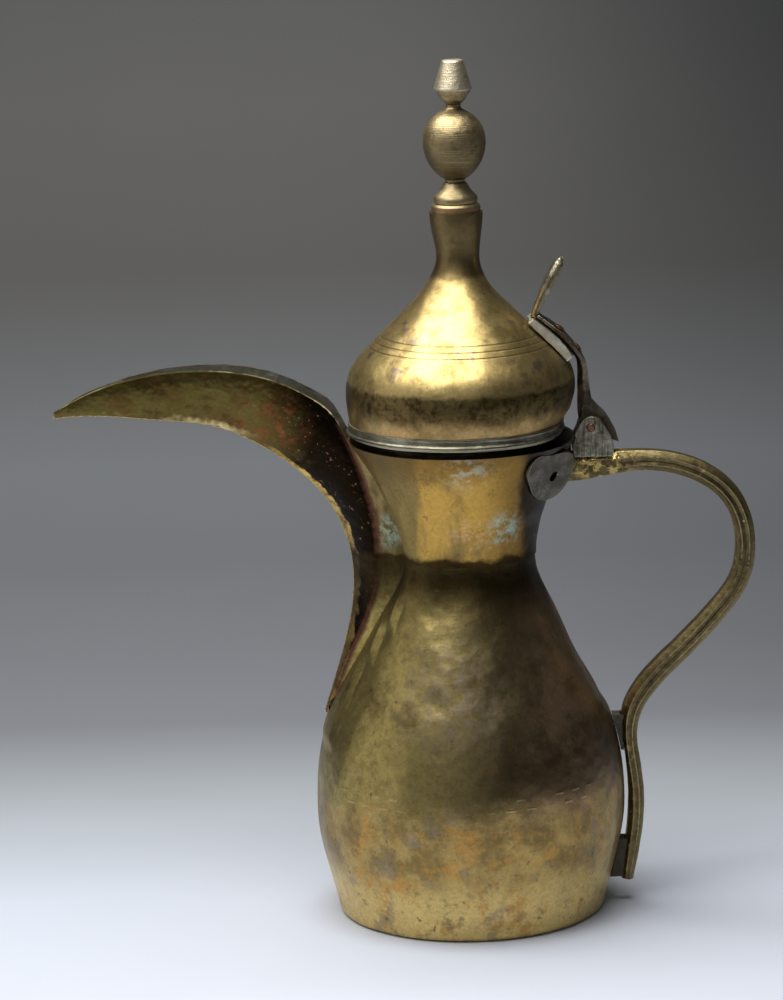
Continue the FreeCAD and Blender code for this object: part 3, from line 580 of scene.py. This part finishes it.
def copper():
    """Dull red copper of the rivets and the hinge pin."""
    paint = Paint("copper")
    grain = paint.noise(320, 5.0, 0.65)
    colour = paint.mix(grain, rgb(0.20, 0.085, 0.05), rgb(0.50, 0.24, 0.14))
    colour = paint.mix(paint.step(grain, 0.56, 0.66), colour, rgb(0.09, 0.06, 0.045))
    paint.relief(grain, 0.0003, 0.7)
    return paint.finish(colour, paint.blend(grain, 0.30, 0.50))


def studio_paper():
    """Pale sweep with painted shade: it darkens away from the pot, and more so on the right."""
    paint = Paint("studio_paper", metal=0.0)
    run = paint.math("ADD", paint.y, paint.z)
    (start, first_shade), *between, (end, last_shade) = PAPER_SHADES
    share = paint.make("ShaderNodeMapRange")
    paint.feed(share.inputs["Value"], run)
    share.inputs["From Min"].default_value = start
    share.inputs["From Max"].default_value = end
    ramp = paint.make("ShaderNodeValToRGB")
    paint.feed(ramp.inputs[0], share.outputs[0])
    elements = ramp.color_ramp.elements
    elements[0].color = rgb(*first_shade)
    elements[-1].color = rgb(*last_shade)
    for place, shade in between:
        elements.new((place - start) / (end - start)).color = rgb(*shade)
    colour = ramp.outputs[0]
    # Painted shade: the sweep is darker on the right and in the far right corner.
    right = paint.math("MULTIPLY", paint.step(paint.x, -0.15, 0.45), paint.step(run, 0.15, 0.7))
    right = paint.math("MULTIPLY", right, 0.30)
    colour = paint.mix(right, colour, rgb(0.02, 0.022, 0.025))
    corner = paint.math("MULTIPLY", paint.step(paint.x, -0.05, 0.50), paint.step(run, 1.1, 1.95))
    colour = paint.mix(paint.math("MULTIPLY", corner, 0.82), colour, rgb(0.02, 0.022, 0.025))
    mottled = paint.mix(paint.noise(9, 3.0), rgb(0.97, 0.97, 0.97), rgb(1.03, 1.03, 1.03))
    colour = paint.mix(1.0, colour, mottled, "MULTIPLY")
    paint.relief(paint.noise(700, 2.0), 0.00005, 0.4)
    return paint.finish(colour, 0.85)


def make_materials():
    """One material for every slot of the record, and for pieces that differ from their slot."""
    upright, level, square = (1, 1, 0.06), (0.05, 0.05, 1), (1, 1, 1)
    return {
        "lid_rim_band": tinned("tinned_rim", rgb(0.36, 0.35, 0.27), rgb(0.22, 0.205, 0.14), level),
        # Painted shade: the plug is near black, as in the gap under the rim band.
        "lid_plug": tinned("tinned_plug_painted_shade", rgb(0.06, 0.055, 0.045), rgb(0.03, 0.027, 0.02), level),
        # Bright tin, made near-white cream as painted light on its lit face.
        "lid_arm_pad": tinned("tinned_pad_painted_light", rgb(1.0, 0.96, 0.78), rgb(0.85, 0.80, 0.62), square, 0.12),
        "lid_arm": tinned("dark_strap", rgb(0.17, 0.14, 0.10), rgb(0.055, 0.042, 0.030), upright),
        "thumb_piece": tinned("tinned_thumb", rgb(0.46, 0.42, 0.30), rgb(0.24, 0.20, 0.12), upright, 0.5),
        "handle_bracket": tinned("dark_lug", rgb(0.22, 0.20, 0.16), rgb(0.085, 0.075, 0.055), square),
        "aged_brass_body": aged_body(),
        "polished_brass_neck": polished_neck(),
        "polished_brass_lid": polished_lid(),
        "aged_brass_spout": aged_spout(),
        "braze": braze(),
        "cast_brass_handle": cast_handle(),
        "tinned_brass": tinned("tinned_brass", rgb(0.46, 0.44, 0.34), rgb(0.26, 0.24, 0.17), upright),
        "dark_filler": dark_filler(),
        "finial_brass": turned_finial(),
        "copper": copper()}


# --- beaten walls ------------------------------------------------------------------------
def surface_tree(nodes):
    """Ray-cast tree over the meshes of some CAD nodes."""
    corners, faces = [], []
    for node in nodes:
        mesh = frame["nodes"][node].data
        start = len(corners)
        corners += [vertex.co.copy() for vertex in mesh.vertices]
        faces += [[start + i for i in polygon.vertices] for polygon in mesh.polygons]
    return BVHTree.FromPolygons(corners, faces)


def wall_rows(nodes, heights):
    """Outside and inside radius of a turned wall at each height."""
    tree = surface_tree(nodes)
    outward = Vector((math.cos(PROFILE_AZIMUTH), math.sin(PROFILE_AZIMUTH), 0))
    outer, inner = [], []
    for z in heights:
        axis = Vector((0, 0, z))
        from_outside = tree.ray_cast(axis + outward * 0.5, -outward)[0]
        from_axis = tree.ray_cast(axis, outward)[0]
        outer.append((math.hypot(from_outside.x, from_outside.y), z))
        inner.append((math.hypot(from_axis.x, from_axis.y), z))
    return outer, inner


def even_heights(low, high, step, margin=0.00005):
    """Heights from just above low to just below high."""
    return list(np.linspace(low + margin, high - margin, max(2, round((high - low) / step) + 1)))


def untouched(angles, heights, windows):
    """0 where other pieces are brazed on a wall, so that it meets them, and 1 elsewhere.

    Each window is (azimuth, half angle, lowest height, highest height).
    """
    free = np.ones((len(heights), len(angles)))
    for azimuth, half_angle, low, high in windows:
        turn = abs((angles - azimuth + math.pi) % (2 * math.pi) - math.pi)
        aside = np.clip((turn - half_angle) / 0.12, 0, 1)
        beyond = np.clip(np.maximum(low - heights, heights - high) / 0.008, 0, 1)
        free *= np.maximum(aside[None, :], beyond[:, None])
    return free


def hammer_marks(angles, radii, heights, count, spread, size, depth, seed):
    """Inward depth of many soft round dents, on a grid of rows and columns."""
    random.seed(seed)
    sunk = np.zeros((len(heights), len(angles)))
    low, high = spread
    for _ in range(count):
        angle = random.uniform(-math.pi, math.pi)
        height = random.uniform(low, high)
        reach = size * random.uniform(0.7, 1.3)
        strength = depth * random.uniform(0.3, 1.0)
        rows = np.where(abs(heights - height) < 2.2 * reach)[0]
        if not len(rows):
            continue
        turn = (angles - angle + math.pi) % (2 * math.pi) - math.pi
        across = turn[None, :] * radii[rows, None]
        rise = (heights[rows] - height)[:, None]
        sunk[rows] += strength * np.exp(-(across ** 2 + rise ** 2) / reach ** 2)
    return sunk


def knocked_in(angles, heights):
    """Share of the lid's radius lost beside the hinge."""
    turn = np.clip(abs(angles) / KNOCK_HALF_ANGLE, 0, 1)
    sideways = np.cos(turn * math.pi / 2) ** 2
    shares = np.interp(heights, KNOCK_HEIGHTS, KNOCK_SHARES)
    return shares[:, None] * sideways[None, :]


def closed_grid(name, x, y, z):
    """Mesh of a grid of corners whose rows and columns both close on themselves."""
    rows, columns = x.shape
    corners = np.stack([x, y, z], axis=2).reshape(-1, 3)
    row, column = np.meshgrid(np.arange(rows), np.arange(columns), indexing="ij")
    here, above = row * columns, (row + 1) % rows * columns
    beside = (column + 1) % columns
    faces = np.stack([here + column, here + beside, above + beside, above + column], axis=2).reshape(-1, 4)
    mesh = bpy.data.meshes.new(name)
    mesh.from_pydata(corners.tolist(), [], faces.tolist())
    mesh.shade_smooth()
    mesh.set_sharp_from_angle(angle=EDGE_ANGLE)
    return mesh


def beaten_wall(name, nodes, rows, marks=(), knocked=False, grooves=(), windows=()):
    """Turned wall rebuilt as a fine grid with hammer marks.

    Rows are (outer, inner), and each of the marks is (count, (low, high), size, depth).
    """
    outer, inner = rows
    loop = np.array(outer + inner[::-1])
    radii, heights = loop[:, 0], loop[:, 1]
    angles = np.arange(AROUND) * 2 * math.pi / AROUND - math.pi
    wall_radius = np.array([row[0] for row in outer + outer[::-1]])
    sunk = np.zeros((len(loop), AROUND))
    for number, (count, spread, size, depth) in enumerate(marks):
        seed = FIRST_SEED + number
        sunk += hammer_marks(angles, wall_radius, heights, count, spread, size, depth, seed)
    sunk *= untouched(angles, heights, windows)
    for groove in grooves:
        cut = GROOVE_DEPTH * np.exp(-((heights[:len(outer)] - groove) / GROOVE_WIDTH) ** 2)
        sunk[:len(outer)] += cut[:, None]
    grid = radii[:, None] - sunk
    if knocked:
        grid = grid * (1 - knocked_in(angles, heights))
    x = grid * np.cos(angles)
    y = grid * np.sin(angles)
    z = np.repeat(heights[:, None], AROUND, axis=1)
    return add_piece(name, closed_grid(name, x, y, z), nodes)


def add_piece(name, mesh, nodes):
    """Puts a new piece in the scene in place of some CAD nodes."""
    piece = bpy.data.objects.new(name, mesh)
    bpy.context.collection.objects.link(piece)
    slot = SLOT_OF_NODE[nodes[0]]
    mesh.materials.clear()
    mesh.materials.append(MATERIALS.get(nodes[0], MATERIALS[slot]))
    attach(piece, BODY_OF_NODE[nodes[0]])
    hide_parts(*nodes)
    return piece


def ring(x, y, z, radius, sides):
    """Corners of a circle that faces along X."""
    turns = [2 * math.pi * k / sides for k in range(sides)]
    return [(x, y + radius * math.cos(turn), z + radius * math.sin(turn)) for turn in turns]


def strainer_rods(sides=16):
    """Round rods along X where the wall behind the spout is pierced, in staggered rows."""
    corners, faces = [], []
    for row, z in enumerate(STRAINER_ROWS):
        for shift in ((-1, 0, 1) if row % 2 == 0 else (-0.5, 0.5)):
            start = len(corners)
            for x in STRAINER_X:
                corners += ring(x, shift * STRAINER_PITCH, z, STRAINER_RADIUS, sides)
            first, second = range(start, start + sides), range(start + sides, start + 2 * sides)
            faces += [tuple(reversed(first)), tuple(second)]
            for k in range(sides):
                beside = (k + 1) % sides
                faces.append((first[k], first[beside], second[beside], second[k]))
    mesh = bpy.data.meshes.new("strainer_rods")
    mesh.from_pydata(corners, [], faces)
    rods = bpy.data.objects.new("strainer_rods", mesh)
    bpy.context.collection.objects.link(rods)
    return rods


def pierce(piece, rods):
    """Cuts the strainer holes in a beaten wall."""
    cut = piece.modifiers.new("strainer_holes", "BOOLEAN")
    cut.object = rods
    cut.solver = "MANIFOLD"
    graph = bpy.context.evaluated_depsgraph_get()
    pierced = bpy.data.meshes.new_from_object(piece.evaluated_get(graph))
    pierced.materials.clear()
    pierced.materials.append(piece.data.materials[0])
    for face in pierced.polygons:
        face.material_index = 0
    piece.modifiers.clear()
    piece.data = pierced
    pierced.set_sharp_from_angle(angle=EDGE_ANGLE)


def even_pair(outer, inner):
    """Same number of rows outside and inside, so that a dent moves both faces."""
    missing = len(outer) - len(inner)
    radius, height = inner[0]
    added = [(radius + 0.0001 * (i + 1), height) for i in range(missing)]
    return outer, [inner[0]] + added + inner[1:]


def make_body():
    """Bowl and belly as one beaten wall, turned in at the foot to meet the base plate."""
    nodes = ["lower_bowl", "belly_shell"]
    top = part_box("belly_shell")[1].z
    plate_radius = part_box("base_plate")[1].x
    foot = [0.0002, 0.0006, 0.0011, 0.0016, 0.0024, 0.0034, 0.0046, 0.006]
    outer, inner = wall_rows(nodes, foot + even_heights(0.0075, top, 0.0016))
    inside = [row for row in inner if row[1] > 0.0017]
    outer = [(plate_radius, 0.0), (outer[0][0] - 0.0006, 0.0)] + outer
    inner = [(plate_radius, 0.0015)] + inside
    marks = [
        (620, (0.0, top), 0.0100, 0.00032), (70, (0.03, top), 0.024, 0.0010),
        (60, (0.11, 0.20), 0.0095, 0.0006)]
    windows = [
        (math.pi, 0.70, 0.200, top), (math.pi, 0.58, 0.184, 0.204), (math.pi, 0.42, 0.165, 0.190),
        (math.pi, 0.28, 0.112, 0.170), (0.0, 0.14, 0.010, 0.120)]
    return beaten_wall("beaten_body", nodes, even_pair(outer, inner), marks, windows=windows)


def make_neck():
    """Trumpet neck, left without dents where spout and bracket are brazed on."""
    low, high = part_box("neck_shell")[0].z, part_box("neck_shell")[1].z
    rows = wall_rows(["neck_shell"], even_heights(low, high, 0.0012))
    marks = [(150, (low, high), 0.0085, 0.00032), (16, (low, high), 0.017, 0.0007)]
    windows = [(math.pi, 0.70, low, 0.250), (math.pi, 0.54, 0.245, high), (0.0, 1.10, 0.245, high)]
    return beaten_wall("beaten_neck", ["neck_shell"], rows, marks, windows=windows)


def make_dome():
    """Onion dome and chimney with three engraved lines."""
    low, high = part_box("lid_dome")[0].z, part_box("lid_dome")[1].z
    fine = even_heights(GROOVES[0] - 0.002, GROOVES[-1] + 0.002, 0.0002)
    heights = even_heights(low, fine[0], 0.0012) + fine[1:-1] + even_heights(fine[-1], high, 0.0012)
    marks = [(230, (low, 0.40), 0.0095, 0.00024), (26, (low, 0.37), 0.020, 0.0008)]
    rows = wall_rows(["lid_dome"], heights)
    beaten_wall("beaten_dome", ["lid_dome"], rows, marks, knocked=True, grooves=GROOVES)


def make_rim():
    """Rim band and the plug under it, knocked in together with the dome."""
    for node, step in (("lid_rim_band", 0.00025), ("lid_plug", 0.0012)):
        low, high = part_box(node)[0].z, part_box(node)[1].z
        rows = wall_rows([node], even_heights(low, high, step))
        marks = [(90, (low, high), 0.012, 0.00025)]
        beaten_wall("beaten_" + node, [node], rows, marks, knocked=True)


# --- cast and filed pieces ---------------------------------------------------------------
def worn_copy(node, voxel, wear, grain, passes=3):
    """CAD piece with its corners rounded by wear and a slightly uneven skin."""
    mesh = frame["nodes"][node].data.copy()
    piece = add_piece("worn_" + node, mesh, [node])
    remesh = piece.modifiers.new("even_mesh", "REMESH")
    remesh.mode = "VOXEL"
    remesh.voxel_size = voxel
    remesh.use_smooth_shade = True
    smooth = piece.modifiers.new("worn_corners", "SMOOTH")
    smooth.factor = 0.5
    smooth.iterations = passes
    clouds = bpy.data.textures.new("uneven_" + node, "CLOUDS")
    clouds.noise_scale = grain
    uneven = piece.modifiers.new("uneven_skin", "DISPLACE")
    uneven.texture = clouds
    uneven.texture_coords = "LOCAL"
    uneven.strength = wear
    uneven.mid_level = 1.0


WORN_NODES = {              # node: (voxel, wear, grain, smoothing passes)
    "spout_keel_seam": (0.00035, 0.0009, 0.0022, 1),
    "handle": (0.00050, 0.0004, 0.009, 2),
    "handle_bracket": (0.00045, 0.0005, 0.004, 3),
    "handle_upper_pad": (0.00050, 0.0008, 0.003, 3),
    "handle_foot_pad": (0.00050, 0.0008, 0.003, 3),
    "hinge_ear_near": (0.00035, 0.0004, 0.003, 4),
    "hinge_ear_far": (0.00035, 0.0004, 0.003, 4),
    "hinge_pin": (0.00030, 0.0002, 0.002, 3),
    "finial_ferrule": (0.00035, 0.0002, 0.005, 2),
    "finial_foot": (0.00030, 0.0002, 0.005, 2),
    "finial_tip": (0.00030, 0.0002, 0.005, 3),
    "lid_arm": (0.00040, 0.0003, 0.004, 2),
    "lid_arm_pad": (0.00045, 0.0006, 0.004, 4),
    "thumb_piece": (0.00035, 0.0003, 0.004, 3),
    "lid_arm_rivets": (0.00030, 0.0003, 0.002, 4)}


def make_worn_pieces():
    coarse = 1.0
    for node, (voxel, wear, grain, passes) in WORN_NODES.items():
        worn_copy(node, voxel * coarse, wear, grain, passes)


def paint_kept_nodes():
    """Materials for the CAD pieces that are shown as they are."""
    for node, piece in frame["nodes"].items():
        if piece.hide_render:
            continue
        piece.data.materials.clear()
        piece.data.materials.append(MATERIALS.get(node, MATERIALS[SLOT_OF_NODE[node]]))


# --- studio ------------------------------------------------------------------------------
def make_sweep():
    """Paper sweep: a floor that curves up behind the pot."""
    profile = [(FLOOR_FRONT, 0.0), (0.0, 0.0), (CURVE_START, 0.0)]
    last_turn = math.acos(1 - PAPER_TOP / CURVE_RADIUS)
    for i in range(1, 25):
        turn = last_turn * i / 24
        profile.append((CURVE_START + CURVE_RADIUS * math.sin(turn), CURVE_RADIUS * (1 - math.cos(turn))))
    corners, faces = [], []
    for y, z in profile:
        corners += [(-FLOOR_HALF_WIDTH, y, z), (FLOOR_HALF_WIDTH, y, z)]
    for i in range(len(profile) - 1):
        faces.append((2 * i, 2 * i + 1, 2 * i + 3, 2 * i + 2))
    mesh = bpy.data.meshes.new("paper_sweep")
    mesh.from_pydata(corners, [], faces)
    mesh.shade_smooth()
    mesh.materials.append(studio_paper())
    sweep = bpy.data.objects.new("paper_sweep", mesh)
    bpy.context.collection.objects.link(sweep)


def soft_light(name, place, size, power, colour, aim=(0, 0, 0.22)):
    """Square area light aimed at the pot."""
    data = bpy.data.lights.new(name, "AREA")
    data.size = size
    data.energy = power
    data.color = colour
    light = bpy.data.objects.new(name, data)
    light.location = place
    light.rotation_mode = "QUATERNION"
    light.rotation_quaternion = (Vector(aim) - Vector(place)).to_track_quat("-Z", "Y")
    bpy.context.collection.objects.link(light)


def make_lights():
    soft_light("key_light", KEY_AT, KEY_SIZE, KEY_POWER, (1.0, 0.99, 0.96))
    soft_light("fill_light", FILL_AT, FILL_SIZE, FILL_POWER, (0.95, 0.98, 1.0))
    soft_light("side_light", SIDE_AT, SIDE_SIZE, SIDE_POWER, (1.0, 0.98, 0.94))
    world = bpy.data.worlds.new("room")
    world.use_nodes = True
    world.node_tree.nodes["Background"].inputs["Color"].default_value = ROOM_GREY
    bpy.context.scene.world = world
    bpy.context.scene.view_settings.view_transform = "Standard"


def make_camera():
    down, roll = math.radians(CAMERA_DOWN), math.radians(CAMERA_ROLL)
    back = Vector((0, -math.cos(down), math.sin(down)))
    level_up = Vector((0, math.sin(down), math.cos(down)))
    right = Vector((1, 0, 0)) * math.cos(roll) + level_up * math.sin(roll)
    up = level_up * math.cos(roll) - Vector((1, 0, 0)) * math.sin(roll)
    turn = Matrix((right, up, back)).transposed().to_4x4()
    data = bpy.data.cameras.new("camera")
    data.lens = FOCAL_LENGTH
    camera = bpy.data.objects.new("camera", data)
    camera.matrix_world = Matrix.Translation(CAMERA_AT) @ turn
    bpy.context.collection.objects.link(camera)
    bpy.context.scene.camera = camera


MATERIALS = make_materials()
rods = strainer_rods()
pierce(make_body(), rods)
pierce(make_neck(), rods)
bpy.data.objects.remove(rods)
make_dome()
make_rim()
make_worn_pieces()
paint_kept_nodes()
make_sweep()
make_lights()
make_camera()
